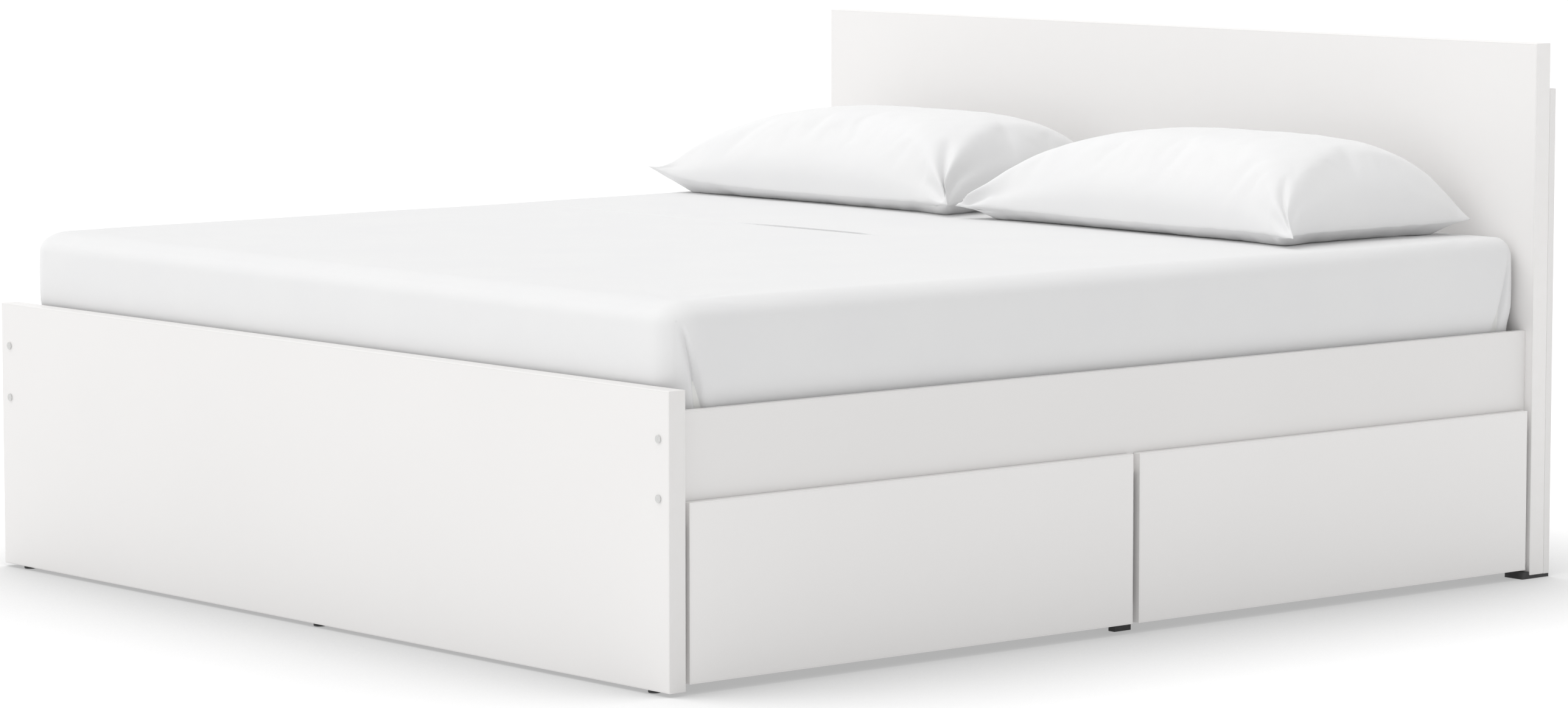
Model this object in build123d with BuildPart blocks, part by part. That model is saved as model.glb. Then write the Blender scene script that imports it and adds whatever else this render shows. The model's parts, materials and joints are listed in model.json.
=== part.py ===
"""King-size platform bed with four rolling storage drawers, a mattress and two pillows.

Millimetres, +Z up. The origin is on the floor, under the middle of the bed.
+X is the right-hand side, -Y is the footboard end and +Y is the headboard end.
"""
import os

from build123d import *

# Mattress, which sets the size of the frame around it
mattress_width = 1926.0
mattress_length = 2028.0
mattress_height = 250.0
mattress_corner_radius = 32.0
mattress_edge_radius = 27.0
mattress_side_gap = 2.0
mattress_end_gap = 8.5
mattress_recess = 78.0
mattress_lift = 0.3
sheet_thickness = 1.2
sheet_hem_height = 42.0

# Pillows
pillow_side_margin = 26.0
pillow_depth = 510.0
pillow_height = 190.0
pillow_corner_radius = 95.0
pillow_edge_radius = 84.0
pillow_gap = 4.0
pillow_shift = -50.0
pillow_head_gap = 20.0
pillow_lift = 0.4

# Boards of the frame
glide_height = 6.0
foot_thickness = 35.0
foot_top = 503.0
head_thickness = 38.0
head_top = 1002.0
post_thickness = 16.0
post_width = 92.0
post_top = 917.0
crossbar_height = 90.0
crossbar_drop = 60.0
rail_thickness = 16.0
rail_top = 466.0
rail_height = 184.0
side_reveal = 2.0
board_ease = 1.6
edge_ease = 0.8

# Slats and what carries them
slat_count = 13
slat_width = 72.0
slat_thickness = 18.0
slat_end_gap = 3.0
slat_row_margin = 34.0
cleat_width = 22.0
cleat_height = 30.0
cleat_end_gap = 2.0
beam_width = 44.0
beam_height = 68.0
beam_end_gap = 4.0
beam_leg_count = 3
beam_leg_size = 38.0
beam_foot_radius = 17.0
beam_foot_height = 12.0
hanger_sheet = 2.5
hanger_length = 46.0
hanger_flange = 24.0
rail_leg_gap = 9.5
rail_leg_thickness = 16.0

# Fasteners
bolt_radius = 3.0
bolt_hole_radius = 3.3
bolt_head_radius = 6.8
bolt_head_height = 2.2
bolt_socket_width = 4.0
bolt_socket_depth = 1.4
bolt_spacing = 98.0
bolt_reach = 62.0
nut_radius = 5.0
nut_cover = 3.0
nut_inset = 50.0
dowel_radius = 4.0
dowel_length = 50.0
screw_radius = 2.0
screw_head_radius = 4.0
screw_head_height = 2.4
slat_screw_length = 38.0
post_screw_length = 34.0
post_screw_count = 4
post_screw_drop = 60.0

# Glides under the end boards
foot_glide_radius = 11.0
foot_glide_inset = 60.0
head_glide_width = 46.0
head_glide_nose = 20.0
head_glide_drawer_gap = 4.0
head_glide_corner = 3.0
head_glide_gap = 0.4

# Drawers
front_thickness = 16.0
front_lap = 35.0
front_floor_gap = 17.0
front_end_gap = 10.0
front_split = 15.0
front_rail_gap = 1.0
box_depth = 640.0
box_inset = 22.0
box_rail_gap = 28.0
box_board = 12.0
box_bottom_board = 8.0
wheel_top_gap = 3.0
wheel_radius = 20.0
wheel_width = 18.0
wheel_groove = 1.0
axle_radius = 3.0
axle_running_gap = 0.05
caster_plate = 3.0
caster_plate_length = 58.0
caster_cheek = 3.0
caster_side_gap = 1.0
caster_boss_radius = 8.0
caster_front_setback = 170.0
caster_back_setback = 64.0
caster_side_inset = 74.0

# Places worked out from the sizes above
rail_inside = mattress_width / 2 + mattress_side_gap
rail_outside = rail_inside + rail_thickness
front_inside = rail_outside + front_rail_gap
front_outside = front_inside + front_thickness
half_width = front_outside + side_reveal
inner_length = mattress_length + 2 * mattress_end_gap
depth = foot_thickness + inner_length + head_thickness + post_thickness
foot_front = -depth / 2
foot_back = foot_front + foot_thickness
head_front = foot_back + inner_length
head_back = head_front + head_thickness
post_back = head_back + post_thickness
middle_y = (foot_back + head_front) / 2
rail_bottom = rail_top - rail_height
rail_middle_x = rail_inside + rail_thickness / 2
rail_middle_z = rail_top - rail_height / 2
slat_top = rail_top - mattress_recess
slat_bottom = slat_top - slat_thickness
cleat_bottom = slat_bottom - cleat_height
beam_bottom = slat_bottom - beam_height
mattress_bottom = slat_top + mattress_lift
mattress_top = mattress_bottom + mattress_height
front_length = (inner_length - 2 * front_end_gap - front_split) / 2
front_top = rail_bottom + front_lap
caster_height = 2 * wheel_radius + wheel_top_gap + caster_plate
box_floor = caster_height + box_bottom_board
box_top = rail_bottom - box_rail_gap
nut_length = rail_thickness - nut_cover
rail_leg_width = front_split + 2 * box_inset - 2 * rail_leg_gap
head_glide_nose_top = front_floor_gap - head_glide_drawer_gap
pillow_width = mattress_width / 2 - pillow_side_margin - pillow_gap / 2
post_screw_x = half_width - post_width / 2
post_screw_step = (post_top - rail_top - 2 * post_screw_drop) / (post_screw_count - 1)
slat_step = (inner_length - 2 * slat_row_margin - slat_width) / (slat_count - 1)
slat_inner_end = slat_end_gap
slat_outer_end = rail_inside - slat_end_gap
slat_screw_x = rail_inside - cleat_width / 2
slat_ys = [foot_back + slat_row_margin + slat_width / 2 + n * slat_step for n in range(slat_count)]

os.makedirs("parts", exist_ok=True)


def save(piece, name):
    """Label a finished piece and write it as one STEP file."""
    piece.part.label = name
    export_step(piece.part, f"parts/{name}.step")


def board(x_range, y_range, z_range, ease):
    """A flat board between three pairs of limits, with its edges eased."""
    with BuildPart() as piece:
        with BuildSketch(Plane.XY.offset(z_range[0])):
            with Locations((sum(x_range) / 2, sum(y_range) / 2)):
                Rectangle(x_range[1] - x_range[0], y_range[1] - y_range[0])
        extrude(amount=z_range[1] - z_range[0])
        fillet(piece.edges(), ease)
    return piece


def mirrored(piece):
    """The same piece on the other side of the bed."""
    with BuildPart() as other:
        mirror(piece.part, about=Plane.YZ)
    return other


def both_sides(points):
    """The points, and the same points with X turned round."""
    return [*points, *((-x, y) for x, y in points)]


# Hole centres (x, z) in the upright boards
bolt_points = both_sides(
    [(rail_middle_x, rail_middle_z + offset) for offset in (-bolt_spacing / 2, bolt_spacing / 2)]
)
dowel_points = both_sides([(rail_middle_x, rail_middle_z)])
post_screw_points = both_sides(
    [(post_screw_x, rail_top + post_screw_drop + n * post_screw_step) for n in range(post_screw_count)]
)

# ---------------------------------------------------------------- footboard
with BuildPart() as footboard:
    with BuildSketch(Plane.XZ.offset(-foot_back)):
        with Locations((0, (glide_height + foot_top) / 2)):
            Rectangle(2 * half_width, foot_top - glide_height)
    extrude(amount=foot_thickness)
    fillet(footboard.edges(), board_ease)
    with BuildSketch(Plane.XZ.offset(-foot_back)):
        with Locations(bolt_points):
            Circle(bolt_hole_radius)
    extrude(amount=foot_thickness, mode=Mode.SUBTRACT)
    with BuildSketch(Plane.XZ.offset(-foot_back)):
        with Locations(dowel_points):
            Circle(dowel_radius)
    extrude(amount=dowel_length / 2, mode=Mode.SUBTRACT)
save(footboard, "footboard")

# ---------------------------------------------------------------- headboard
with BuildPart() as headboard:
    with BuildSketch(Plane.XZ.offset(-head_back)):
        with Locations((0, (glide_height + head_top) / 2)):
            Rectangle(2 * half_width, head_top - glide_height)
    extrude(amount=head_thickness)
    fillet(headboard.edges(), board_ease)
    with BuildSketch(Plane.XZ.offset(-head_back)):
        with Locations(bolt_points):
            Circle(bolt_hole_radius)
    extrude(amount=head_thickness, mode=Mode.SUBTRACT)
    with BuildSketch(Plane.XZ.offset(-head_front)):
        with Locations(dowel_points):
            Circle(dowel_radius)
    extrude(amount=-dowel_length / 2, mode=Mode.SUBTRACT)
    with BuildSketch(Plane.XZ.offset(-head_back)):
        with Locations(post_screw_points):
            Circle(screw_radius)
    extrude(amount=post_screw_length - post_thickness, mode=Mode.SUBTRACT)
save(headboard, "headboard")

with BuildPart() as headboard_post_right:
    with BuildSketch(Plane.XZ.offset(-post_back)):
        with Locations((half_width - post_width / 2, (glide_height + post_top) / 2)):
            Rectangle(post_width, post_top - glide_height)
    extrude(amount=post_thickness)
    fillet(headboard_post_right.edges(), edge_ease)
    with BuildSketch(Plane.XZ.offset(-post_back)):
        with Locations(bolt_points):
            Circle(bolt_hole_radius)
        with Locations(post_screw_points):
            Circle(screw_radius)
    extrude(amount=post_thickness, mode=Mode.SUBTRACT)
save(headboard_post_right, "headboard_post_right")
save(mirrored(headboard_post_right), "headboard_post_left")

post_inside = half_width - post_width
headboard_crossbar = board(
    (-post_inside, post_inside),
    (head_back, post_back),
    (post_top - crossbar_drop - crossbar_height, post_top - crossbar_drop),
    edge_ease,
)
save(headboard_crossbar, "headboard_crossbar")

# ---------------------------------------------------------------- side rails
rail_bolt_spots = [(rail_middle_x, rail_middle_z + offset) for offset in (-bolt_spacing / 2, bolt_spacing / 2)]
nut_spots = [
    (y, rail_middle_z + offset)
    for y in (foot_back + nut_inset, head_front - nut_inset)
    for offset in (-bolt_spacing / 2, bolt_spacing / 2)
]

with BuildPart() as side_rail_right:
    with BuildSketch(Plane.XY.offset(rail_bottom)):
        with Locations((rail_middle_x, middle_y)):
            Rectangle(rail_thickness, inner_length)
    extrude(amount=rail_height)
    fillet(side_rail_right.edges(), edge_ease)
    for end_y, inwards in ((foot_back, -1), (head_front, 1)):
        with BuildSketch(Plane.XZ.offset(-end_y)):
            with Locations(rail_bolt_spots):
                Circle(bolt_hole_radius)
        extrude(amount=inwards * (bolt_reach + bolt_radius), mode=Mode.SUBTRACT)
        with BuildSketch(Plane.XZ.offset(-end_y)):
            with Locations((rail_middle_x, rail_middle_z)):
                Circle(dowel_radius)
        extrude(amount=inwards * dowel_length / 2, mode=Mode.SUBTRACT)
    with BuildSketch(Plane.YZ.offset(rail_inside)):
        with Locations(nut_spots):
            Circle(nut_radius)
    extrude(amount=nut_length, mode=Mode.SUBTRACT)
save(side_rail_right, "side_rail_right")
save(mirrored(side_rail_right), "side_rail_left")

with BuildPart() as slat_cleat_right:
    with BuildSketch(Plane.XY.offset(cleat_bottom)):
        with Locations((rail_inside - cleat_width / 2, middle_y)):
            Rectangle(cleat_width, inner_length - 2 * cleat_end_gap)
    extrude(amount=cleat_height)
    fillet(slat_cleat_right.edges(), edge_ease)
    with BuildSketch(Plane.XY.offset(slat_bottom)):
        with Locations([(slat_screw_x, y) for y in slat_ys]):
            Circle(screw_radius)
    extrude(amount=slat_thickness - slat_screw_length, mode=Mode.SUBTRACT)
save(slat_cleat_right, "slat_cleat_right")
save(mirrored(slat_cleat_right), "slat_cleat_left")

rail_leg_right = board(
    (rail_inside - rail_leg_thickness, rail_inside),
    (middle_y - rail_leg_width / 2, middle_y + rail_leg_width / 2),
    (0, cleat_bottom),
    edge_ease,
)
save(rail_leg_right, "rail_leg_right")
save(mirrored(rail_leg_right), "rail_leg_left")

# ---------------------------------------------------------------- slats
with BuildPart() as slats_right:
    with BuildSketch(Plane.XY.offset(slat_bottom)):
        with Locations([((slat_inner_end + slat_outer_end) / 2, y) for y in slat_ys]):
            Rectangle(slat_outer_end - slat_inner_end, slat_width)
    extrude(amount=slat_thickness)
    fillet(slats_right.edges(), edge_ease)
    with BuildSketch(Plane.XY.offset(slat_bottom)):
        with Locations([(slat_screw_x, y) for y in slat_ys]):
            Circle(screw_radius)
    extrude(amount=slat_thickness, mode=Mode.SUBTRACT)
    with BuildSketch(Plane.XY.offset(slat_top)):
        with Locations([(slat_screw_x, y) for y in slat_ys]):
            Circle(screw_head_radius)
    extrude(amount=-screw_head_height, mode=Mode.SUBTRACT)
save(slats_right, "slats_right")
save(mirrored(slats_right), "slats_left")

with BuildPart() as slat_screws:
    with BuildSketch(Plane.XY.offset(slat_top - screw_head_height)):
        with Locations(both_sides([(slat_screw_x, y) for y in slat_ys])):
            Circle(screw_radius)
    extrude(amount=screw_head_height - slat_screw_length)
    with BuildSketch(Plane.XY.offset(slat_top)):
        with Locations(both_sides([(slat_screw_x, y) for y in slat_ys])):
            Circle(screw_head_radius)
    extrude(amount=-screw_head_height)
save(slat_screws, "slat_screws")

# ---------------------------------------------------------------- centre beam
beam_start = foot_back + beam_end_gap
beam_end = head_front - beam_end_gap
leg_ys = [beam_start + (beam_end - beam_start) * (n + 1) / (beam_leg_count + 1) for n in range(beam_leg_count)]

centre_beam = board(
    (-beam_width / 2, beam_width / 2), (beam_start, beam_end), (beam_bottom, slat_bottom), edge_ease
)
save(centre_beam, "centre_beam")

with BuildPart() as centre_legs:
    with BuildSketch(Plane.XY.offset(beam_foot_height)):
        with Locations([(0, y) for y in leg_ys]):
            Rectangle(beam_leg_size, beam_leg_size)
    extrude(amount=beam_bottom - beam_foot_height)
    fillet(centre_legs.edges(), edge_ease)
save(centre_legs, "centre_legs")

with BuildPart() as centre_leg_feet:
    with BuildSketch():
        with Locations([(0, y) for y in leg_ys]):
            Circle(beam_foot_radius)
    extrude(amount=beam_foot_height)
    chamfer(centre_leg_feet.edges().group_by(Axis.Z)[0], edge_ease)
save(centre_leg_feet, "centre_leg_feet")

# U-shaped sheet hangers that hold the two ends of the beam
hanger_half = beam_width / 2 + hanger_sheet
with BuildPart() as beam_hangers:
    for wall_y, inwards in ((foot_back, -1), (head_front, 1)):
        with BuildSketch(Plane.XZ.offset(-wall_y)):
            with Locations((0, (beam_bottom - hanger_sheet + slat_bottom) / 2)):
                Rectangle(2 * hanger_half, beam_height + hanger_sheet)
            with Locations((0, (beam_bottom + slat_bottom) / 2)):
                Rectangle(beam_width, beam_height, mode=Mode.SUBTRACT)
        extrude(amount=inwards * hanger_length)
        with BuildSketch(Plane.XZ.offset(-wall_y)):
            with Locations(both_sides([(hanger_half + hanger_flange / 2, (beam_bottom + slat_bottom) / 2)])):
                Rectangle(hanger_flange, beam_height - 2 * screw_head_radius)
                Circle(screw_radius, mode=Mode.SUBTRACT)
        extrude(amount=inwards * hanger_sheet)
save(beam_hangers, "beam_hangers")

# ---------------------------------------------------------------- fasteners
with BuildPart() as rail_bolts:
    for plane_y, inwards, clamp in (
        (foot_front, -1, foot_thickness),
        (post_back, 1, head_thickness + post_thickness),
    ):
        with BuildSketch(Plane.XZ.offset(-plane_y)):
            with Locations(bolt_points):
                Circle(bolt_radius)
        extrude(amount=inwards * (clamp + bolt_reach))
        with BuildSketch(Plane.XZ.offset(-plane_y)):
            with Locations(bolt_points):
                Circle(bolt_head_radius)
        extrude(amount=-inwards * bolt_head_height)
        with BuildSketch(Plane.XZ.offset(-plane_y - inwards * -bolt_head_height)):
            with Locations(bolt_points):
                RegularPolygon(bolt_socket_width / 2, 6, major_radius=False)
        extrude(amount=inwards * bolt_socket_depth, mode=Mode.SUBTRACT)
save(rail_bolts, "rail_bolts")

with BuildPart() as barrel_nuts_right:
    with BuildSketch(Plane.YZ.offset(rail_inside)):
        with Locations(nut_spots):
            Circle(nut_radius)
    extrude(amount=nut_length)
    for end_y, inwards in ((foot_back, -1), (head_front, 1)):
        with BuildSketch(Plane.XZ.offset(-end_y)):
            with Locations(rail_bolt_spots):
                Circle(bolt_radius)
        extrude(amount=inwards * (bolt_reach + bolt_radius), mode=Mode.SUBTRACT)

with BuildPart() as barrel_nuts:
    add(barrel_nuts_right.part)
    mirror(barrel_nuts_right.part, about=Plane.YZ)
save(barrel_nuts, "barrel_nuts")

with BuildPart() as rail_dowels:
    for end_y in (foot_back, head_front):
        with BuildSketch(Plane.XZ.offset(-end_y)):
            with Locations(dowel_points):
                Circle(dowel_radius)
        extrude(amount=dowel_length / 2, both=True)
save(rail_dowels, "rail_dowels")

with BuildPart() as post_screws:
    with BuildSketch(Plane.XZ.offset(-post_back)):
        with Locations(post_screw_points):
            Circle(screw_radius)
    extrude(amount=post_screw_length)
    with BuildSketch(Plane.XZ.offset(-post_back)):
        with Locations(post_screw_points):
            Circle(screw_head_radius)
    extrude(amount=-screw_head_height / 2)
save(post_screws, "post_screws")

# ---------------------------------------------------------------- glides
with BuildPart() as footboard_glides:
    with BuildSketch():
        with Locations(both_sides([(half_width - foot_glide_inset, foot_front + foot_thickness / 2)])):
            Circle(foot_glide_radius)
        with Locations((0, foot_front + foot_thickness / 2)):
            Circle(foot_glide_radius)
    extrude(amount=glide_height)
    chamfer(footboard_glides.edges().group_by(Axis.Z)[0], edge_ease)
save(footboard_glides, "footboard_glides")

# Moulded glides under the headboard corners, each with a lip in front of the board
with BuildPart() as headboard_glides:
    glide_x = half_width - head_glide_width / 2
    nose_front = head_front - head_glide_nose
    with BuildSketch():
        with Locations(both_sides([(glide_x, (nose_front + post_back) / 2)])):
            RectangleRounded(head_glide_width, post_back - nose_front, head_glide_corner)
    extrude(amount=glide_height)
    with BuildSketch(Plane.XY.offset(glide_height)):
        with Locations(both_sides([(glide_x, (nose_front + head_front - head_glide_gap) / 2)])):
            RectangleRounded(head_glide_width, head_glide_nose - head_glide_gap, head_glide_corner)
    extrude(amount=head_glide_nose_top - glide_height)
save(headboard_glides, "headboard_glides")


# ---------------------------------------------------------------- drawers
def caster_spots(start_y):
    """Centres (x, y) of a right-hand drawer's casters: the front pair, then the back pair."""
    side_ys = (
        start_y + box_inset + caster_side_inset,
        start_y + front_length - box_inset - caster_side_inset,
    )
    front_x = front_inside - caster_front_setback
    back_x = front_inside - box_depth + caster_back_setback
    return [(front_x, y) for y in side_ys], [(back_x, y) for y in side_ys]


def wheel_pair(spots):
    """Two wheels on one axle line, each with a shallow groove round its tread."""
    with BuildPart() as wheels:
        for x, y in spots:
            with BuildSketch(Plane(origin=(x, y, wheel_radius), x_dir=(1, 0, 0), z_dir=(0, -1, 0))):
                Circle(wheel_radius)
                Circle(axle_radius + axle_running_gap, mode=Mode.SUBTRACT)
            extrude(amount=wheel_width / 2, both=True)
        rims = wheels.edges().filter_by(GeomType.CIRCLE).filter_by(lambda edge: edge.radius == wheel_radius)
        fillet(rims, wheel_groove)
    return wheels


def caster_frames(spots):
    """Moulded caster frames: a plate, two cheeks and the axle between them."""
    inner_half = wheel_width / 2 + caster_side_gap
    outer_half = inner_half + caster_cheek
    plate_bottom = caster_height - caster_plate
    with BuildPart() as frames:
        with BuildSketch(Plane.XY.offset(plate_bottom)):
            with Locations(spots):
                RectangleRounded(caster_plate_length, 2 * outer_half + caster_cheek, caster_cheek)
        extrude(amount=caster_plate)
        for x, y in spots:
            for cheek_y in (y + inner_half, y - outer_half):
                cheek_plane = Plane(
                    origin=(x, cheek_y + caster_cheek, wheel_radius), x_dir=(1, 0, 0), z_dir=(0, -1, 0)
                )
                with BuildSketch(cheek_plane):
                    Circle(caster_boss_radius)
                    with Locations((0, plate_bottom - wheel_radius)):
                        Rectangle(4 * caster_boss_radius, caster_cheek / 2, align=(Align.CENTER, Align.MAX))
                    make_hull()
                extrude(amount=caster_cheek)
            with BuildSketch(Plane(origin=(x, y, wheel_radius), x_dir=(1, 0, 0), z_dir=(0, -1, 0))):
                Circle(axle_radius)
            extrude(amount=inner_half + caster_cheek / 2, both=True)
    return frames


def drawer(start_y):
    """All the pieces of one right-hand drawer whose front starts at start_y."""
    end_y = start_y + front_length
    side_low = start_y + box_inset
    side_high = end_y - box_inset
    back_x = front_inside - box_depth
    box_heights = (box_floor, box_top)
    front_casters, back_casters = caster_spots(start_y)
    return {
        "front": board((front_inside, front_outside), (start_y, end_y), (front_floor_gap, front_top), edge_ease),
        "foot_side": board((back_x, front_inside), (side_low, side_low + box_board), box_heights, edge_ease),
        "head_side": board((back_x, front_inside), (side_high - box_board, side_high), box_heights, edge_ease),
        "back": board(
            (back_x, back_x + box_board), (side_low + box_board, side_high - box_board), box_heights, edge_ease
        ),
        "bottom": board((back_x, front_inside), (side_low, side_high), (caster_height, box_floor), edge_ease),
        "casters": caster_frames(front_casters + back_casters),
        "front_wheels": wheel_pair(front_casters),
        "back_wheels": wheel_pair(back_casters),
    }


foot_drawer_start = foot_back + front_end_gap
head_drawer_start = foot_drawer_start + front_length + front_split
for place, drawer_start in (("foot", foot_drawer_start), ("head", head_drawer_start)):
    for piece_name, piece in drawer(drawer_start).items():
        save(piece, f"{place}_drawer_right_{piece_name}")
        save(mirrored(piece), f"{place}_drawer_left_{piece_name}")

# ---------------------------------------------------------------- mattress and bedding
with BuildPart() as mattress:
    with BuildSketch(Plane.XY.offset(mattress_bottom)):
        with Locations((0, middle_y)):
            RectangleRounded(mattress_width, mattress_length, mattress_corner_radius)
    extrude(amount=mattress_height)
    fillet(mattress.edges().group_by(Axis.Z)[0], mattress_edge_radius)
    fillet(mattress.edges().group_by(Axis.Z)[-1], mattress_edge_radius)
save(mattress, "mattress")

with BuildPart() as fitted_sheet:
    with BuildSketch(Plane.XY.offset(mattress_bottom + sheet_hem_height)):
        with Locations((0, middle_y)):
            RectangleRounded(
                mattress_width + 2 * sheet_thickness,
                mattress_length + 2 * sheet_thickness,
                mattress_corner_radius + sheet_thickness,
            )
    extrude(amount=mattress_height - sheet_hem_height + sheet_thickness)
    fillet(fitted_sheet.edges().group_by(Axis.Z)[-1], mattress_edge_radius + sheet_thickness)
    add(mattress.part, mode=Mode.SUBTRACT)
save(fitted_sheet, "fitted_sheet")

pillow_y = head_front - pillow_head_gap - pillow_depth / 2
pillow_bottom = mattress_top + sheet_thickness + pillow_lift
for side_name, side in (("left", -1), ("right", 1)):
    with BuildPart() as pillow:
        with BuildSketch(Plane.XY.offset(pillow_bottom)):
            with Locations((pillow_shift + side * (pillow_width + pillow_gap) / 2, pillow_y)):
                RectangleRounded(pillow_width, pillow_depth, pillow_corner_radius)
        extrude(amount=pillow_height)
        fillet(pillow.edges().group_by(Axis.Z)[0], pillow_edge_radius)
        fillet(pillow.edges().group_by(Axis.Z)[-1], pillow_edge_radius)
    save(pillow, f"pillow_{side_name}")
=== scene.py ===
import json
import math

import bpy
import numpy as np
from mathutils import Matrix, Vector, noise


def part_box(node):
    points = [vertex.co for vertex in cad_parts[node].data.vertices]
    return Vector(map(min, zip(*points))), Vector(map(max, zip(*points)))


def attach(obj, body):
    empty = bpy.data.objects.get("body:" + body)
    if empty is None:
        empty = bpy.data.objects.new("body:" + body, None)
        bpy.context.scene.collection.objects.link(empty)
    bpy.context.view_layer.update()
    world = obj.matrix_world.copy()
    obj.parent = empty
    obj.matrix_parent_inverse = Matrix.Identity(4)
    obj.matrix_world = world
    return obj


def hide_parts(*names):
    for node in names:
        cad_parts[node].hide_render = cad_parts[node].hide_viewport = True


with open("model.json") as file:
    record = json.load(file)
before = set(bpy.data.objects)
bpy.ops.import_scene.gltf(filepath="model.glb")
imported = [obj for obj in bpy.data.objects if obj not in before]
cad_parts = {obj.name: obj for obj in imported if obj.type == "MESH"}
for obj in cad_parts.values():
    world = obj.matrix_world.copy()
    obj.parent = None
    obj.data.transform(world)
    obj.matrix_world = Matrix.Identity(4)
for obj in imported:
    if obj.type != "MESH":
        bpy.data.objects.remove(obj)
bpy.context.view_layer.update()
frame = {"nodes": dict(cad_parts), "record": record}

# ------------------------------------------------------------------ sizes, in metres
RAIL_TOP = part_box("side_rail_right")[1].z
SHEET_LOW, SHEET_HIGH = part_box("fitted_sheet")
MATTRESS_LOW, MATTRESS_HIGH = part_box("mattress")
FOOT_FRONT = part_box("footboard")[0].y
# Mattress and fitted sheet
CORNER_RADIUS = 0.055
HEAD_CORNER_RADIUS = 0.030  # the sheet is pulled tighter round the corners at the head
EDGE_RADIUS = 0.036
TUCK_DEPTH = 0.006          # how far the sheet is drawn in where it meets the rail
SIDE_BULGE = 0.0025         # how far the mattress's sides stand out between rail and top edge
CORE_CLEARANCE = 0.0015     # between the sheet and the mattress under it
SHEET_RIM = 0.16            # the sheet's grid is fine this far in from its edges
SHEET_FINE, SHEET_COARSE = 0.006, 0.022
CREASE_FROM_FOOT = 1.185
CREASE_REACH = 0.036        # half the width of the band of cloth that the crease takes up
CREASE_WANDER = 0.006       # how far the crease strays from a straight line
# Across the band, from -1 to 1: where the cloth lies and how high its ridge stands
CREASE_PATH = (
    (-1.0, -0.036, 0.0),
    (-0.5, -0.017, 0.0002),
    (-0.1, -0.0010, 0.0003),
    (-0.03, -0.0030, 0.0014),
    (0.03, -0.0038, 0.0028),
    (0.15, 0.0005, 0.0031),
    (0.4, 0.012, 0.0017),
    (0.7, 0.025, 0.0004),
    (1.0, 0.036, 0.0),
)
PLEAT_START = 0.026         # where the fold beside each corner begins, in from the end of the mattress
PLEAT_SLOPE = 0.24
PLEAT_HEIGHT = 0.0025
PLEAT_DEPTH = 0.014
RIPPLE = 0.0016             # unevenness of the sheet's top
PIPING_HEIGHT, PIPING_RADIUS, PIPING_INSET = 0.026, 0.0035, 0.0085

# Pillows
SIM_FRAMES = 22
PILLOW_COLUMNS = 100
PILLOW_ROWS = 56
EAR_FOLDS = 11.0            # how closely the folds fan out from a pinched corner
PILLOW_CROWN = 0.88         # the top of the stuffing, as a share of the CAD height
SEAM_HEIGHT = 0.021         # the seam above the bed, along the sides
SIDE_PULL = 0.05            # how far the ends are drawn in between the corners
FRONT_PULL = 0.09           # and the long sides
CUT_LENGTH = 1.07           # the cut cloth, next to the filled pillow
CUT_WIDTH = 1.20
STUFFING_PRESSURE = 3.5
PUCKER_LIMIT = 0.020        # the furthest that the cloth settles from the stuffed shape
# At each corner of a pillow, by its side along x and y: how high the ear stands, how far out, how pinched
LEFT_EARS = {
    (-1, -1): (0.060, 0.012, 0.008),
    (1, -1): (0.016, 0.008, 0.034),
    (-1, 1): (0.05, 0.0, 0.006),
    (1, 1): (0.03, 0.0, 0.008),
}
RIGHT_EARS = {
    (-1, -1): (0.020, 0.010, 0.034),
    (1, -1): (0.008, 0.022, 0.014),
    (-1, 1): (0.04, 0.0, 0.008),
    (1, 1): (0.02, 0.0, 0.006),
}

# Whiteness of each kind of surface. The drawer fronts and headboard share the boards' white foil; their higher
# tone is painted light.
SHEET_TONE, PILLOW_TONE, PIPING_TONE = 0.81, 0.845, 0.78
PAINTED_LIGHT_FRONT_TONE, BOARD_TONE, PANEL_TONE = 0.872, 0.815, 0.80

# Floor, light and camera
# Painted shadow on the floor: its grey by how open it is, darkest where the bed shuts out the light.
PAINTED_FLOOR_SHADOW_GREYS = ((0.0, 0.04), (0.5, 0.21), (0.72, 0.42), (1.0, 0.63))  # how open the floor is, and its grey
FLOOR_GLOW = 0.41
FLOOR_REACH = 120.0
SKY_STRENGTH = 0.845
SKY_TILT = -0.21            # how the sky's strength changes from one side to the other
SOFTBOX_ENERGY = 1.04
SOFTBOX_ANGLE = 50.0
CAMERA_LENS = 126.8
CAMERA_PLACE = (7.896, FOOT_FRONT - 5.628, 1.494)
CAMERA_PITCH, CAMERA_YAW = 90.0 - 5.965, 49.58


def smoothstep(low, high, value):
    """0 below low, 1 above high, and a smooth rise between them."""
    t = np.clip((value - low) / (high - low), 0.0, 1.0)
    return t * t * (3.0 - 2.0 * t)


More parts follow.
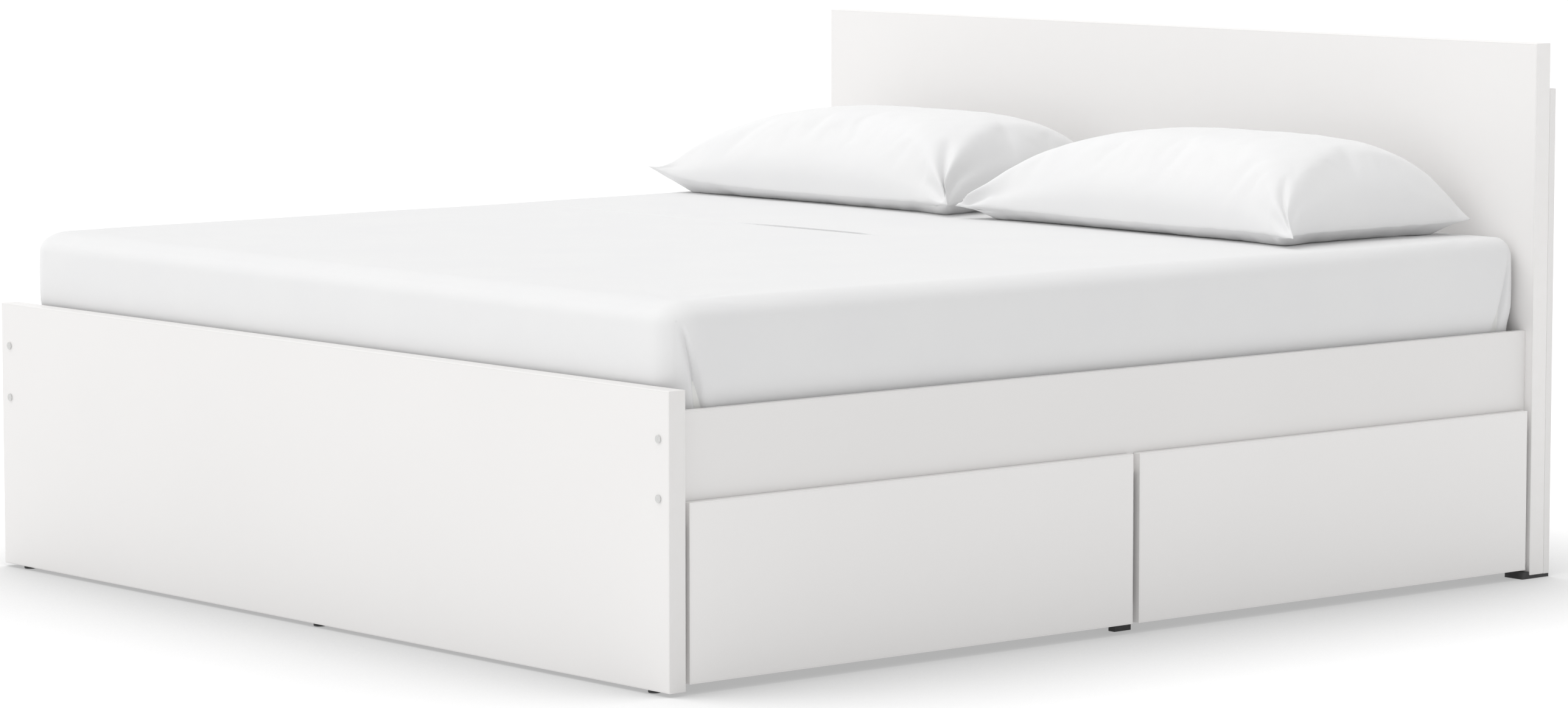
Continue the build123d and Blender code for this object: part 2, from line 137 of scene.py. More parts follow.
# ------------------------------------------------------------------ materials
class Shader:
    """A Principled material with a few short ways to add procedural nodes to it."""

    def __init__(self, name, color, roughness, **sockets):
        self.material = bpy.data.materials.new(name)
        self.material.use_nodes = True
        self.tree = self.material.node_tree
        self.surface = self.tree.nodes["Principled BSDF"]
        self.material.diffuse_color = (*color, 1.0)
        self.surface.inputs["Base Color"].default_value = (*color, 1.0)
        self.surface.inputs["Roughness"].default_value = roughness
        for socket, value in sockets.items():
            self.surface.inputs[socket.replace("_", " ")].default_value = value
        coordinates = self.tree.nodes.new("ShaderNodeTexCoord").outputs
        self.place, self.cloth = coordinates["Object"], coordinates["UV"]

    def node(self, kind, inputs=(), **settings):
        made = self.tree.nodes.new(kind)
        for key, value in settings.items():
            setattr(made, key, value)
        for socket, value in dict(inputs).items():
            if isinstance(value, bpy.types.NodeSocket):
                self.tree.links.new(value, made.inputs[socket])
            else:
                made.inputs[socket].default_value = value
        return made

    def stretched(self, scale):
        """Object coordinates, scaled differently along each axis."""
        return self.node("ShaderNodeMapping", {"Vector": self.place, "Scale": scale}).outputs[0]

    def noise(self, scale, detail=3.0, roughness=0.5, vector=None):
        inputs = {"Vector": vector or self.place, "Scale": scale, "Detail": detail, "Roughness": roughness}
        return self.node("ShaderNodeTexNoise", inputs).outputs["Fac"]

    def wave(self, scale, axis, distortion=0.0, vector=None, detail=2.0):
        inputs = {"Vector": vector or self.place, "Scale": scale, "Distortion": distortion, "Detail": detail}
        return self.node("ShaderNodeTexWave", inputs, wave_type="BANDS", bands_direction=axis).outputs["Fac"]

    def math(self, operation, first, second=0.0, third=0.0):
        return self.node("ShaderNodeMath", {0: first, 1: second, 2: third}, operation=operation).outputs[0]

    def ramp(self, factor, stops):
        made = self.node("ShaderNodeValToRGB", {"Fac": factor})
        elements = made.color_ramp.elements
        while len(elements) < len(stops):
            elements.new(0.5)
        for element, (position, color) in zip(elements, stops):
            element.position = position
            element.color = (*color, 1.0)
        return made.outputs["Color"]

    def span(self, factor, low, high):
        return self.node("ShaderNodeMapRange", {"Value": factor, "To Min": low, "To Max": high}).outputs[0]

    def mix(self, factor, first, second, blend="MIX"):
        made = self.node("ShaderNodeMix", data_type="RGBA", blend_type=blend)
        for index, value in ((0, factor), (6, first), (7, second)):
            if isinstance(value, bpy.types.NodeSocket):
                self.tree.links.new(value, made.inputs[index])
            else:
                made.inputs[index].default_value = value
        return made.outputs[2]

    def color(self, output):
        self.tree.links.new(output, self.surface.inputs["Base Color"])

    def roughness(self, output):
        self.tree.links.new(output, self.surface.inputs["Roughness"])

    def bump(self, *layers):
        """Each layer is (height output, strength, distance); they are chained."""
        normal = None
        for height, strength, distance in layers:
            inputs = {"Height": height, "Strength": strength, "Distance": distance}
            if normal is not None:
                inputs["Normal"] = normal
            normal = self.node("ShaderNodeBump", inputs).outputs["Normal"]
        self.tree.links.new(normal, self.surface.inputs["Normal"])


def board_material(node, tone):
    """White foil on particle board, with the thin seam where each edge strip meets the face."""
    low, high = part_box(node)
    size = high - low
    flat = min(range(3), key=lambda axis: size[axis])
    white = (tone * 1.006, tone * 0.992, tone * 0.982)
    shader = Shader("white_board_" + node, white, 0.42, Coat_Weight=0.08, Coat_Roughness=0.3)
    soft = shader.noise(2.2, detail=2.0)
    tint = shader.ramp(soft, [(0.3, tuple(channel * 0.985 for channel in white)), (0.7, white)])
    speckle = shader.span(shader.noise(700.0, detail=1.0), 0.985, 1.01)
    grey = shader.node("ShaderNodeCombineColor", {0: speckle, 1: speckle, 2: speckle}).outputs[0]
    tint = shader.mix(1.0, tint, grey, "MULTIPLY")
    axes = shader.node("ShaderNodeSeparateXYZ", {"Vector": shader.place}).outputs
    to_edge = []
    for axis in range(3):
        if axis != flat:
            middle = (low[axis] + high[axis]) / 2
            off_centre = shader.math("ABSOLUTE", shader.math("SUBTRACT", axes[axis], middle))
            to_edge.append(shader.math("SUBTRACT", size[axis] / 2, off_centre))
    nearest = shader.math("MINIMUM", *to_edge)
    seam = shader.math("COMPARE", nearest, 0.0022, 0.00035)
    edge_band = {"Value": nearest, "From Min": 0.0, "From Max": 0.006, "To Min": 1.0, "To Max": 0.0}
    rub = shader.node("ShaderNodeMapRange", edge_band).outputs[0]
    rub = shader.math("MULTIPLY", rub, shader.span(shader.noise(38.0, detail=4.0), -0.5, 1.2))
    tint = shader.mix(shader.math("MULTIPLY", seam, 0.20), tint, (0.62, 0.61, 0.59, 1.0))
    tint = shader.mix(shader.math("MULTIPLY", rub, 0.12), tint, (0.70, 0.68, 0.64, 1.0))
    shader.color(tint)
    shader.roughness(shader.span(shader.noise(26.0, detail=4.0), 0.36, 0.50))
    groove = shader.math("SUBTRACT", 1.0, seam)
    shader.bump((shader.noise(320.0, detail=2.0), 0.10, 0.0002), (groove, 0.25, 0.0002))
    return shader.material


def pine_material(name, along):
    """Planed pine, with its grain along one axis."""
    across = {"X": (0.35, 7.0, 7.0), "Y": (7.0, 0.35, 7.0), "Z": (7.0, 7.0, 0.35)}[along]
    shader = Shader(name, (0.74, 0.58, 0.38), 0.6)
    place = shader.stretched(across)
    rings = shader.wave(1.6, "DIAGONAL", distortion=5.0, vector=place, detail=3.0)
    fibre = shader.noise(24.0, detail=6.0, roughness=0.65, vector=place)
    tone = shader.math("ADD", shader.math("MULTIPLY", rings, 0.6), shader.math("MULTIPLY", fibre, 0.4))
    grain = [(0.15, (0.80, 0.66, 0.46)), (0.5, (0.72, 0.55, 0.35)), (0.85, (0.58, 0.41, 0.23))]
    tint = shader.ramp(tone, grain)
    knots = shader.node("ShaderNodeTexVoronoi", {"Vector": shader.stretched((4.0, 4.0, 4.0)), "Scale": 1.0})
    knot = shader.ramp(knots.outputs["Distance"], [(0.0, (1.0, 1.0, 1.0)), (0.07, (0.0, 0.0, 0.0))])
    shader.color(shader.mix(knot, tint, (0.33, 0.19, 0.09, 1.0)))
    shader.roughness(shader.span(fibre, 0.5, 0.72))
    shader.bump((fibre, 0.25, 0.0006))
    return shader.material


def plastic_material(name, color, roughness):
    """Moulded plastic with a fine spark-eroded texture."""
    shader = Shader(name, color, roughness)
    shader.roughness(shader.span(shader.noise(90.0), roughness - 0.08, roughness + 0.1))
    dust = shader.noise(35.0, detail=5.0)
    lighter = tuple(min(1.0, channel + 0.05) for channel in color)
    shader.color(shader.ramp(dust, [(0.45, color), (0.85, lighter)]))
    shader.bump((shader.noise(900.0, detail=1.0), 0.3, 0.0002))
    return shader.material


def metal_material(name, color, roughness, metallic):
    """Plated or enamelled steel with faint brushed streaks."""
    shader = Shader(name, color, roughness, Metallic=metallic)
    streaks = shader.noise(160.0, detail=4.0, vector=shader.stretched((1.0, 1.0, 9.0)))
    darker = tuple(channel * 0.86 for channel in color)
    shader.color(shader.ramp(streaks, [(0.35, darker), (0.65, color)]))
    shader.roughness(shader.span(streaks, roughness - 0.08, roughness + 0.1))
    shader.bump((streaks, 0.15, 0.0001))
    return shader.material


def cotton_material(name, tone, thread, wrinkle):
    """Plain woven cotton: warp and weft threads, slubs and soft wrinkles."""
    shader = Shader(name, (tone, tone, tone), 0.86, Sheen_Weight=0.06, Sheen_Roughness=0.5)
    warp = shader.wave(1.0 / thread, "X", distortion=0.6, vector=shader.cloth)
    weft = shader.wave(1.0 / thread, "Y", distortion=0.6, vector=shader.cloth)
    weave = shader.math("MULTIPLY", shader.math("ADD", warp, weft), 0.5)
    drawn = shader.node("ShaderNodeMapping", {"Vector": shader.cloth, "Scale": (1.0, 0.15, 1.0)}).outputs[0]
    slubs = shader.noise(240.0, detail=3.0, vector=drawn)
    folds = shader.noise(7.0, detail=4.0, roughness=0.55)
    base = shader.ramp(folds, [(0.3, (tone * 0.985, tone * 0.985, tone * 0.99)), (0.7, (tone, tone, tone))])
    threads = shader.span(weave, 0.965, 1.01)
    grey = shader.node("ShaderNodeCombineColor", {0: threads, 1: threads, 2: threads}).outputs[0]
    shader.color(shader.mix(1.0, base, grey, "MULTIPLY"))
    shader.roughness(shader.span(slubs, 0.8, 0.92))
    shader.bump((folds, wrinkle, 0.012), (slubs, 0.10, 0.0006), (weave, 0.25, 0.0003))
    return shader.material


def quilt_material(name):
    """Knitted mattress cover, stitched in diamonds, with painted shade in the stitched valleys."""
    shader = Shader(name, (0.83, 0.83, 0.81), 0.9, Sheen_Weight=0.2, Sheen_Roughness=0.6)
    diagonal = {"Vector": shader.place, "Rotation": (0.0, 0.0, math.radians(45))}
    turned = shader.node("ShaderNodeMapping", diagonal)
    lines = [shader.wave(4.0, axis, vector=turned.outputs[0]) for axis in ("X", "Y")]
    valley = shader.math("MINIMUM", *lines)
    puff = shader.math("POWER", valley, 0.35)
    knit = shader.wave(500.0, "X", distortion=1.0)
    # The cover is coloured darker down in the stitched valleys: painted shade in the quilting's hollows.
    shader.color(shader.ramp(puff, [(0.1, (0.77, 0.77, 0.755)), (0.5, (0.84, 0.84, 0.82))]))
    shader.bump((puff, 0.5, 0.004), (knit, 0.2, 0.0003))
    return shader.material


# ------------------------------------------------------------------ meshes
def new_object(name, vertices, faces, smooth=True):
    mesh = bpy.data.meshes.new(name)
    mesh.from_pydata([tuple(v) for v in vertices], [], faces)
    mesh.validate()
    for polygon in mesh.polygons:
        polygon.use_smooth = smooth
    made = bpy.data.objects.new(name, mesh)
    bpy.context.scene.collection.objects.link(made)
    return made


def grid_lines(half, fine_zone, fine_step, coarse_step, extra=()):
    """Positions from -half to half: close together near both ends, and round each extra place."""
    inner = half - fine_zone
    ends = np.arange(0.0, fine_zone, fine_step)
    middle = np.linspace(-inner, inner, max(2, int(round(2 * inner / coarse_step))) + 1)
    lines = np.concatenate([-half + ends, middle, half - ends])
    for place, reach, step in extra:
        lines = np.concatenate([lines, np.arange(place - reach, place + reach, step)])
    lines = np.unique(np.round(lines, 5))
    kept = [lines[0]]
    for line in lines[1:]:
        if line - kept[-1] > fine_step * 0.4:
            kept.append(line)
    kept[-1] = half
    return np.array(kept)


def rounding(local, half):
    """The three radii of the rounded edges near each point: the plan corners tighten towards the head."""
    towards_head = smoothstep(0.0, 0.9, local[:, 1] / half[1])
    corner = CORNER_RADIUS + (HEAD_CORNER_RADIUS - CORNER_RADIUS) * towards_head
    return np.stack([corner, corner, np.full(len(local), EDGE_RADIUS)], axis=1)


def inner_box(local, half, open_bottom):
    """The nearest place in the straight box inside the rounded edges, and the radii there."""
    radii = rounding(local, half)
    inner = np.clip(local, -(half - radii), half - radii)
    if open_bottom:
        inner[:, 2] = np.minimum(local[:, 2], half[2] - radii[:, 2])
    return inner, radii


def soft_block(low, high, lines_x, lines_y, lines_z, open_bottom):
    """A box with rounded edges, made of grids on its faces that share their edge points."""
    centre = (np.array(low) + np.array(high)) / 2
    half = (np.array(high) - np.array(low)) / 2
    points, index, faces = [], {}, []

    def point(x, y, z):
        key = (round(x, 5), round(y, 5), round(z, 5))
        if key not in index:
            index[key] = len(points)
            points.append(key)
        return index[key]

    def patch(first, second, place):
        for i in range(len(first) - 1):
            for j in range(len(second) - 1):
                corners = ((i, j), (i + 1, j), (i + 1, j + 1), (i, j + 1))
                faces.append([point(*place(first[a], second[b])) for a, b in corners])

    hx, hy, hz = half
    patch(lines_x, lines_y, lambda a, b: (a, b, hz))
    if not open_bottom:
        patch(lines_y, lines_x, lambda a, b: (b, a, -hz))
    patch(lines_y, lines_z, lambda a, b: (hx, a, b))
    patch(lines_z, lines_y, lambda a, b: (-hx, b, a))
    patch(lines_z, lines_x, lambda a, b: (b, hy, a))
    patch(lines_x, lines_z, lambda a, b: (a, -hy, b))
    outer = np.array(points)
    inner, radii = inner_box(outer, half, open_bottom)
    away = (outer - inner) / radii
    length = np.linalg.norm(away, axis=1)
    scale = np.where(length > 1e-9, 1.0 / np.maximum(length, 1e-9), 0.0)
    return inner + away * scale[:, None] * radii + centre, faces


def lay_weave(thing):
    """Give every face a map in metres, taken from the two directions that it mostly lies along."""
    mesh = thing.data
    cut_map = mesh.uv_layers.new(name="cut_cloth")
    for polygon in mesh.polygons:
        facing = max(range(3), key=lambda axis: abs(polygon.normal[axis]))
        first, second = [(1, 2), (0, 2), (0, 1)][facing]
        for loop in polygon.loop_indices:
            place = mesh.vertices[mesh.loops[loop].vertex_index].co
            cut_map.data[loop].uv = (place[first], place[second])


def noise_field(points, scale, seed):
    """Smooth noise from -1 to 1 at each point."""
    offset = Vector((seed * 17.3, seed * 5.1, seed * 9.7))
    return np.array([noise.noise(Vector(p) * scale + offset) for p in points])


def fade_out(distance):
    """1 at the crease, falling to 0 a hand's width away."""
    return 1.0 - smoothstep(CREASE_REACH, 3 * CREASE_REACH, np.abs(distance))


def make_sheet():
    """The fitted sheet: drawn over the mattress, with a fold crease across it and a pleat at each corner."""
    half = (SHEET_HIGH - SHEET_LOW) / 2
    centre_y = (SHEET_LOW.y + SHEET_HIGH.y) / 2
    crease_y = FOOT_FRONT + CREASE_FROM_FOOT
    lines_x = grid_lines(half.x, SHEET_RIM, SHEET_FINE, SHEET_COARSE)
    pleat_y = half.y - PLEAT_START
    finer = [(crease_y - centre_y, 0.035, 0.003), (-pleat_y, 0.035, 0.003), (pleat_y, 0.035, 0.003)]
    lines_y = grid_lines(half.y, SHEET_RIM, SHEET_FINE, SHEET_COARSE, extra=finer)
    lines_z = grid_lines(half.z, 0.06, 0.006, 0.009)
    points, faces = soft_block(SHEET_LOW, SHEET_HIGH, lines_x, lines_y, lines_z, open_bottom=True)
    outwards = outward_directions(points)
    top_share = smoothstep(SHEET_HIGH.z - 0.02, SHEET_HIGH.z - 0.002, points[:, 2])
    side_share = 1.0 - top_share
    x, y, z = points.T

    above_rail = z - RAIL_TOP
    drawn_in = -TUCK_DEPTH * (1.0 - smoothstep(0.0, 0.05, above_rail))
    swell = SIDE_BULGE * np.sin(np.pi * np.clip(above_rail / (SHEET_HIGH.z - RAIL_TOP), 0.0, 1.0))
    move = side_share * (drawn_in + swell)
    loose = side_share * smoothstep(0.005, 0.05, above_rail)
    move += loose * 0.0012 * noise_field(points, 5.0, 1)
    move += top_share * RIPPLE * noise_field(points, 2.6, 2)

    # Folds that run down from the corners, strongest beside them
    for side_x in (-1, 1):
        for side_y in (-1, 1):
            corner_x = side_x * (half.x - CORNER_RADIUS)
            corner_y = centre_y + side_y * (half.y - CORNER_RADIUS)
            along = half.y - side_y * (y - centre_y)
            beside = (np.sign(x) == side_x) & (np.abs(x) > half.x - 0.03) & (along < 0.3)
            drop = SHEET_HIGH.z - z
            gap = along - PLEAT_START - PLEAT_SLOPE * (drop - 0.055)
            deeper = smoothstep(0.035, 0.15, drop)
            groove = np.exp(-((gap / (0.0035 + 0.003 * deeper)) ** 2)) * (0.35 + 0.65 * deeper)
            lip = smoothstep(0.0, 0.008, gap) * np.exp(-np.clip(gap, 0.0, None) / 0.06)
            fade = smoothstep(0.030, 0.060, drop)
            move += np.where(beside, fade * (PLEAT_HEIGHT * lip - PLEAT_DEPTH * groove), 0.0)
            reach = np.hypot(x - corner_x, y - corner_y)
            angle = np.arctan2(y - corner_y, x - corner_x)
            pull = np.exp(-reach / 0.11) * smoothstep(0.05, 0.09, reach)
            move += top_share * RIPPLE * pull * np.sin(13.0 * angle)

    # The crease left by folding, across the top
    across = y - crease_y
    span = smoothstep(-0.92, -0.78, x) * (1.0 - smoothstep(0.10, 0.20, x))
    raised = top_share * span * (0.35 + 0.65 * smoothstep(-0.30, -0.10, x)) * (np.abs(across) < CREASE_REACH)
    place_in_band, ridge_y, ridge_z = np.array(CREASE_PATH).T
    shift_y = np.interp(across / CREASE_REACH, place_in_band, ridge_y) - across
    shift_z = np.interp(across / CREASE_REACH, place_in_band, ridge_z)
    wander = top_share * span * CREASE_WANDER * np.sin(4.0 * x + 0.5) * fade_out(across)

    points = points + outwards * move[:, None]
    points[:, 1] += raised * shift_y + wander
    points[:, 2] += raised * shift_z
    sheet = new_object("fitted_sheet_cloth", points, faces)
    lay_weave(sheet)
    sheet.data.materials.append(cotton_material("sheet_cotton", SHEET_TONE, 0.0011, 0.10))
    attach(sheet, "mattress")
    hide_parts("fitted_sheet")
    width, length, drop = 2 * half.x, 2 * half.y, SHEET_HIGH.z - SHEET_LOW.z


def outward_directions(points):
    """Unit directions out of the rounded sheet, worked out from its straight inner box."""
    centre = np.array((SHEET_LOW + SHEET_HIGH) / 2)
    half = np.array((SHEET_HIGH - SHEET_LOW) / 2)
    local = points - centre
    inner, radii = inner_box(local, half, open_bottom=True)
    away = (local - inner) / radii
    return away / np.maximum(np.linalg.norm(away, axis=1), 1e-9)[:, None]


def tube_round_mattress(name, height, radius, inset):
    """Piping sewn round the mattress, as a closed tube along its rounded outline."""
    low, high = MATTRESS_LOW, MATTRESS_HIGH
    half_x, half_y = (high.x - low.x) / 2 - inset, (high.y - low.y) / 2 - inset
    centre = (low + high) / 2
    route = []
    for quarter, (sx, sy) in enumerate(((1, 1), (-1, 1), (-1, -1), (1, -1))):
        corner = (HEAD_CORNER_RADIUS if sy > 0 else CORNER_RADIUS) - inset
        for step in range(9):
            angle = math.radians(90 * quarter + 90 * step / 8)
            x = centre.x + sx * (half_x - corner) + corner * math.cos(angle)
            y = centre.y + sy * (half_y - corner) + corner * math.sin(angle)
            route.append((x, y, height, 1.0))
    curve = bpy.data.curves.new(name, "CURVE")
    curve.dimensions = "3D"
    spline = curve.splines.new("POLY")
    spline.points.add(len(route) - 1)
    for spot, place in zip(spline.points, route):
        spot.co = place
    spline.use_cyclic_u = True
    curve.bevel_depth = radius
    curve.bevel_resolution = 3
    made = bpy.data.objects.new(name, curve)
    bpy.context.scene.collection.objects.link(made)
    return made


def make_mattress():
    """The mattress under the sheet: quilted cover and piping round its lower edge."""
    inset = CORE_CLEARANCE + TUCK_DEPTH
    low = MATTRESS_LOW + Vector((inset, inset, 0.0))
    high = MATTRESS_HIGH - Vector((inset, inset, 4 * CORE_CLEARANCE))
    half = (high - low) / 2
    lines = [grid_lines(side, 0.06, 0.012, 0.06) for side in half]
    points, faces = soft_block(low, high, *lines, open_bottom=False)
    under = points[:, 2] < low.z + 0.004
    dimple = 0.0012 * (1 + np.cos(points[:, 0] * 26.0) * np.cos(points[:, 1] * 26.0))
    points[:, 2] += np.where(under, dimple, 0.0)
    core = new_object("mattress_core", points, faces)
    core.data.materials.append(quilt_material("mattress_quilting"))
    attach(core, "mattress")
    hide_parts("mattress")
    piping = tube_round_mattress("mattress_piping", low.z + PIPING_HEIGHT, PIPING_RADIUS, PIPING_INSET)
    piping.data.materials.append(cotton_material("piping_tape", PIPING_TONE, 0.0012, 0.05))
    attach(piping, "mattress")


def profile(place, power, root):
    """A rounded cross-section: 1 in the middle, falling ever more steeply to 0 at both ends."""
    return np.clip(1.0 - np.abs(place) ** power, 0.0, 1.0) ** root


def pillow_shell(columns, rows):
    """The faces of two layers sewn together round their edge, and each point's place in the cut cloth."""
    places, index, faces = [], {}, []

    def point(i, j, layer):
        on_seam = i in (0, columns) or j in (0, rows)
        key = (i, j, 0 if on_seam else layer)
        if key not in index:
            index[key] = len(places)
            places.append((2 * i / columns - 1, 2 * j / rows - 1, key[2]))
        return index[key]

    for layer in (1, -1):
        for i in range(columns):
            for j in range(rows):
                corners = [point(i + a, j + b, layer) for a, b in ((0, 0), (1, 0), (1, 1), (0, 1))]
                faces.append(corners if layer > 0 else corners[::-1])
    return np.array(places), faces


def stuffed_shape(places, size, ears, seed):
    """Where the points of a filled pillow lie: crowned above, flat below, with drawn-in sides and ears."""
    u, v, layer = places.T
    spread_u = 0.45 * u + 0.55 * np.sin(u * math.pi / 2)
    spread_v = 0.35 * v + 0.65 * np.sin(v * math.pi / 2)
    x = spread_u * size.x / 2 * (1.0 - SIDE_PULL * (1.0 - v * v) * u ** 4)
    y = spread_v * size.y / 2 * (1.0 - FRONT_PULL * (1.0 - u * u) * v ** 4)
    lengthwise = np.where(u < 0, profile(spread_u, 2.1, 0.56), profile(spread_u, 5.0, 0.36))
    fullness = lengthwise * profile(spread_v, 2.5, 0.52)
    touching = profile(spread_u, 8.0, 1.2) * profile(spread_v, 7.0, 1.2)
    seam = np.full(len(u), SEAM_HEIGHT)
    corner = np.clip(np.abs(u * v), 0.0, 1.0) ** 4
    from_end, from_side = (1.0 - np.abs(u)) * size.x / 2, (1.0 - np.abs(v)) * size.y / 2
    away = np.hypot(from_end, from_side)
    fan = np.cos(EAR_FOLDS * np.arctan2(from_side, from_end) + 1.0)
    fan *= smoothstep(0.0, 0.06, away) * np.exp(-away / 0.10)
    folds = np.zeros(len(u))
    for (side_u, side_v), (rise, reach, pinch) in ears.items():
        quarter = (np.sign(u) == side_u) * (np.sign(v) == side_v)
        seam += corner * quarter * (rise - SEAM_HEIGHT)
        x += corner * quarter * side_u * reach
        folds += quarter * pinch * fan
    x += np.sign(u) * folds * 0.4
    y += np.sign(v) * folds * 0.6
    crown = size.z * PILLOW_CROWN - SEAM_HEIGHT
    above = seam + crown * fullness + folds * 0.6
    below = seam * (1.0 - touching)
    z = np.where(layer > 0, above, np.where(layer < 0, below, seam))
    z = z + 0.0015 * noise_field(np.stack([x, y, z], axis=1), 30.0, seed)
    return np.stack([x, y, z], axis=1)


def fill_with_stuffing(pillow, start, flat):
    """Let the cut cloth settle over the stuffing: it puckers where it is longer than the shape it covers."""
    scene = bpy.context.scene
    pillow.shape_key_add(name="stuffed")
    cut = pillow.shape_key_add(name="cut_cloth")
    cut.data.foreach_set("co", flat.ravel())
    cloth = pillow.modifiers.new("stuffing", "CLOTH")
    settings = cloth.settings
    settings.rest_shape_key = cut
    settings.quality = 6
    settings.mass = 0.2
    settings.tension_stiffness = 20.0
    settings.compression_stiffness = 14.0
    settings.shear_stiffness = 6.0
    settings.bending_stiffness = 0.3
    settings.use_pressure = True
    settings.uniform_pressure_force = STUFFING_PRESSURE
    settings.effector_weights.gravity = 0.0
    cloth.point_cache.frame_start = 1
    cloth.point_cache.frame_end = SIM_FRAMES
    for step in range(1, SIM_FRAMES + 1):
        scene.frame_set(step)
    graph = bpy.context.evaluated_depsgraph_get()
    settled = bpy.data.meshes.new_from_object(pillow.evaluated_get(graph))
    points = np.empty(len(settled.vertices) * 3)
    settled.vertices.foreach_get("co", points)
    bpy.data.meshes.remove(settled)
    pillow.modifiers.clear()
    pillow.shape_key_clear()
    scene.frame_set(1)
    moved = points.reshape(-1, 3) - start
    distance = np.maximum(np.linalg.norm(moved, axis=1), 1e-9)
    return start + moved * (np.minimum(distance, PUCKER_LIMIT) / distance)[:, None]


def make_pillow(name, body, ears, seed, turn):
    low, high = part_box(body)
    size = high - low
    places, faces = pillow_shell(PILLOW_COLUMNS, PILLOW_ROWS)
    start = stuffed_shape(places, size, ears, seed)
    pillow = new_object(name, start, faces)
    flat_x = places[:, 0] * size.x / 2 * CUT_LENGTH
    flat_y = places[:, 1] * size.y / 2 * CUT_WIDTH
    flat = np.stack([flat_x, flat_y, np.zeros(len(places))], axis=1)
    points = fill_with_stuffing(pillow, start, flat)
    points[:, 2] = np.clip(points[:, 2], 0.0, size.z)
    turned = points.copy()
    turned[:, 0] = points[:, 0] * math.cos(turn) - points[:, 1] * math.sin(turn)
    turned[:, 1] = points[:, 0] * math.sin(turn) + points[:, 1] * math.cos(turn)
    turned += np.array([(low.x + high.x) / 2, (low.y + high.y) / 2, low.z])
    pillow.data.vertices.foreach_set("co", turned.ravel())
    cut_map = pillow.data.uv_layers.new(name="cut_cloth")
    corners = np.empty(len(pillow.data.loops), dtype=np.int32)
    pillow.data.loops.foreach_get("vertex_index", corners)
    cut_map.data.foreach_set("uv", flat[corners, :2].ravel())
    pillow.data.update()
    smooth = pillow.modifiers.new("finer", "SUBSURF")
    smooth.levels = 1
    smooth.render_levels = 1
    pillow.data.materials.append(cotton_material(name + "_cotton", PILLOW_TONE, 0.0010, 0.10))
    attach(pillow, body)
    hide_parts(body)


# ------------------------------------------------------------------ CAD nodes
def board_tone(node, kind):
    """How white a board is set: fronts and headboard whiter, as painted light that evens out the light on
    them. Their foil is the same.
    """
    if kind == "white_panel":
        return PANEL_TONE
    # the whiter tone on fronts and headboard is painted light, not a different foil
    return PAINTED_LIGHT_FRONT_TONE if node.endswith("_front") or node == "headboard" else BOARD_TONE


def dress_nodes():
    """Give every carried-over CAD node its material."""
    grain_axis = {"slats": "X", "slat_cleat": "Y", "centre_beam": "Y", "centre_legs": "Z", "rail_dowels": "Y"}
    pine = {axis: pine_material("pine_along_" + axis.lower(), axis) for axis in "XYZ"}
    plain = {
        "black_plastic": plastic_material("black_plastic", (0.022, 0.022, 0.023), 0.5),
        "black_wheel": plastic_material("black_tread", (0.035, 0.035, 0.036), 0.42),
        "black_steel": metal_material("black_powder_coat", (0.03, 0.03, 0.03), 0.45, 0.0),
        "steel": metal_material("zinc_steel", (0.62, 0.62, 0.60), 0.36, 1.0),
        "white_bolt": metal_material("white_enamel", (0.66, 0.66, 0.65), 0.35, 0.0),
    }
    slots = {row["node"]: row["material_slot"] for row in frame["record"]["subparts"]}
    for node, thing in frame["nodes"].items():
        kind = slots[node]
        if kind in ("white_board", "white_panel"):
            chosen = board_material(node, board_tone(node, kind))
        elif kind == "pine":
            axis = next(a for start, a in grain_axis.items() if node.startswith(start))
            chosen = pine[axis]
        elif kind in ("cotton_sheet", "cotton_pillow", "mattress_fabric"):
            continue
        else:
            chosen = plain[kind]
        if not thing.material_slots:
            thing.data.materials.append(chosen)
        for holder in thing.material_slots:
            holder.material = chosen


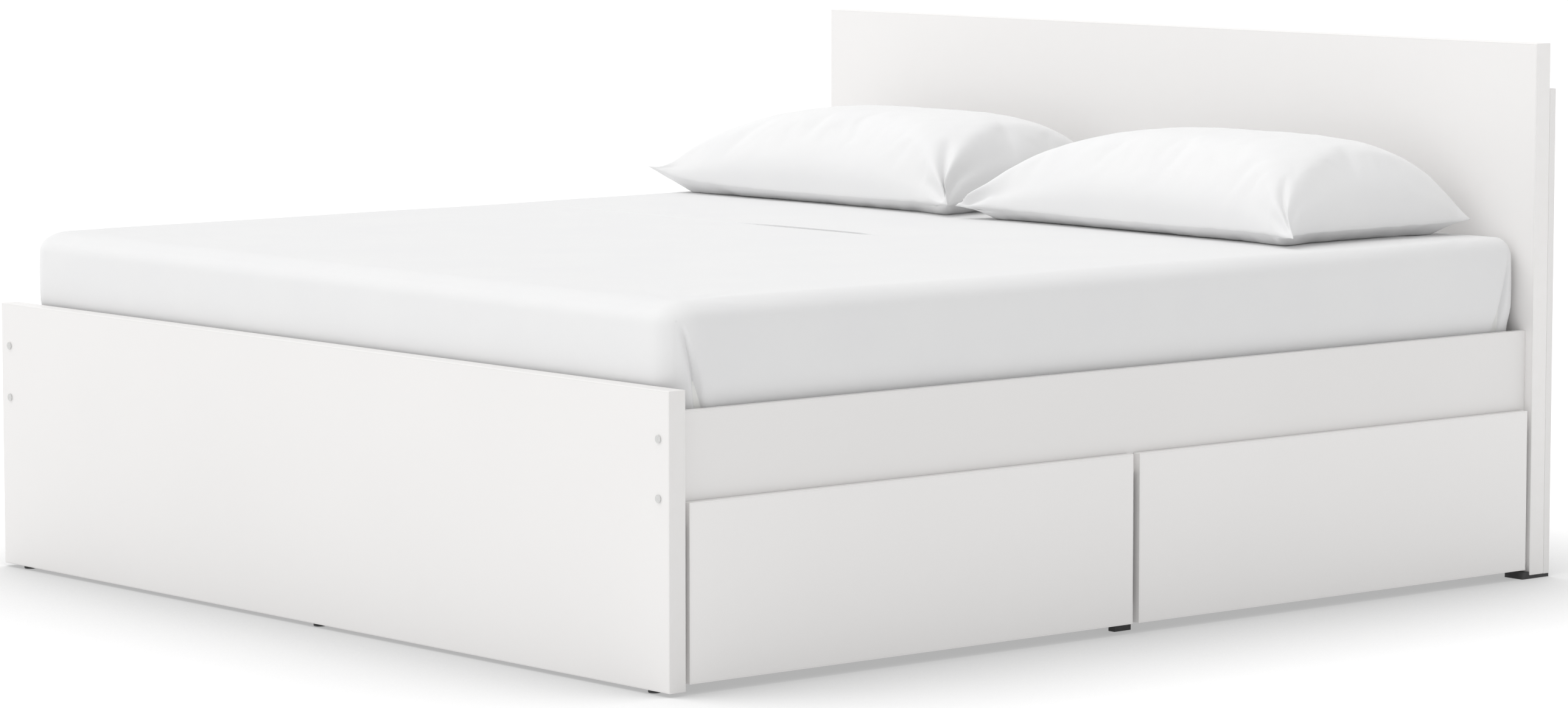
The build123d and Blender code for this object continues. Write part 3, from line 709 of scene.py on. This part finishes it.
# ------------------------------------------------------------------ floor, light and camera
def make_stage():
    """A wide paper floor. Its grey is painted shadow, falling off where the bed shuts the light out, and it
    glows a little.
    """
    corners = [(x * FLOOR_REACH, y * FLOOR_REACH, 0.0) for x, y in ((-1, -1), (1, -1), (1, 1), (-1, 1))]
    floor = new_object("floor", corners, [(0, 1, 2, 3)], smooth=False)
    floor.location.z = -0.0005
    shader = Shader("floor_paper", (0.6, 0.6, 0.6), 0.9)
    shade = shader.node("ShaderNodeAmbientOcclusion", {"Distance": 0.75}, samples=12).outputs["AO"]
    # The floor's colour follows ambient occlusion: a painted contact shadow round the bed.
    shader.color(shader.ramp(shade, [(open_share, (grey, grey, grey)) for open_share, grey in PAINTED_FLOOR_SHADOW_GREYS]))
    shader.surface.inputs["Emission Color"].default_value = (1.0, 1.0, 1.0, 1.0)
    shader.surface.inputs["Emission Strength"].default_value = FLOOR_GLOW
    floor.data.materials.append(shader.material)


def make_lights():
    world = bpy.data.worlds.new("studio")
    bpy.context.scene.world = world
    world.use_nodes = True
    nodes, links = world.node_tree.nodes, world.node_tree.links
    backdrop = nodes["Background"]
    backdrop.inputs["Color"].default_value = (1.0, 1.0, 1.0, 1.0)
    direction = nodes.new("ShaderNodeTexCoord").outputs["Generated"]
    parts = nodes.new("ShaderNodeSeparateXYZ")
    links.new(direction, parts.inputs[0])
    strength = nodes.new("ShaderNodeMath")
    strength.operation = "MULTIPLY_ADD"
    links.new(parts.outputs["X"], strength.inputs[0])
    strength.inputs[1].default_value = SKY_TILT
    strength.inputs[2].default_value = SKY_STRENGTH
    links.new(strength.outputs[0], backdrop.inputs["Strength"])
    toward_light = Vector((-0.08, -0.10, 0.25)).normalized()
    key = bpy.data.lights.new("softbox", "SUN")
    key.energy = SOFTBOX_ENERGY
    key.angle = math.radians(SOFTBOX_ANGLE)
    holder = bpy.data.objects.new("softbox", key)
    holder.rotation_euler = toward_light.to_track_quat("Z", "Y").to_euler()
    holder.location = toward_light * 8.0
    bpy.context.scene.collection.objects.link(holder)


def make_camera():
    camera = bpy.data.cameras.new("camera")
    camera.sensor_fit = "HORIZONTAL"
    camera.sensor_width = 36.0
    camera.lens = CAMERA_LENS
    camera.clip_end = 400.0
    holder = bpy.data.objects.new("camera", camera)
    holder.location = CAMERA_PLACE
    holder.rotation_euler = (math.radians(CAMERA_PITCH), 0.0, math.radians(CAMERA_YAW))
    bpy.context.scene.collection.objects.link(holder)
    bpy.context.scene.camera = holder


make_camera()
make_stage()
make_lights()
dress_nodes()
make_mattress()
make_sheet()
make_pillow("pillow_left_case", "pillow_left", LEFT_EARS, seed=1, turn=math.radians(0.3))
make_pillow("pillow_right_case", "pillow_right", RIGHT_EARS, seed=2, turn=math.radians(-0.8))
bpy.context.scene.view_settings.view_transform = "Standard"
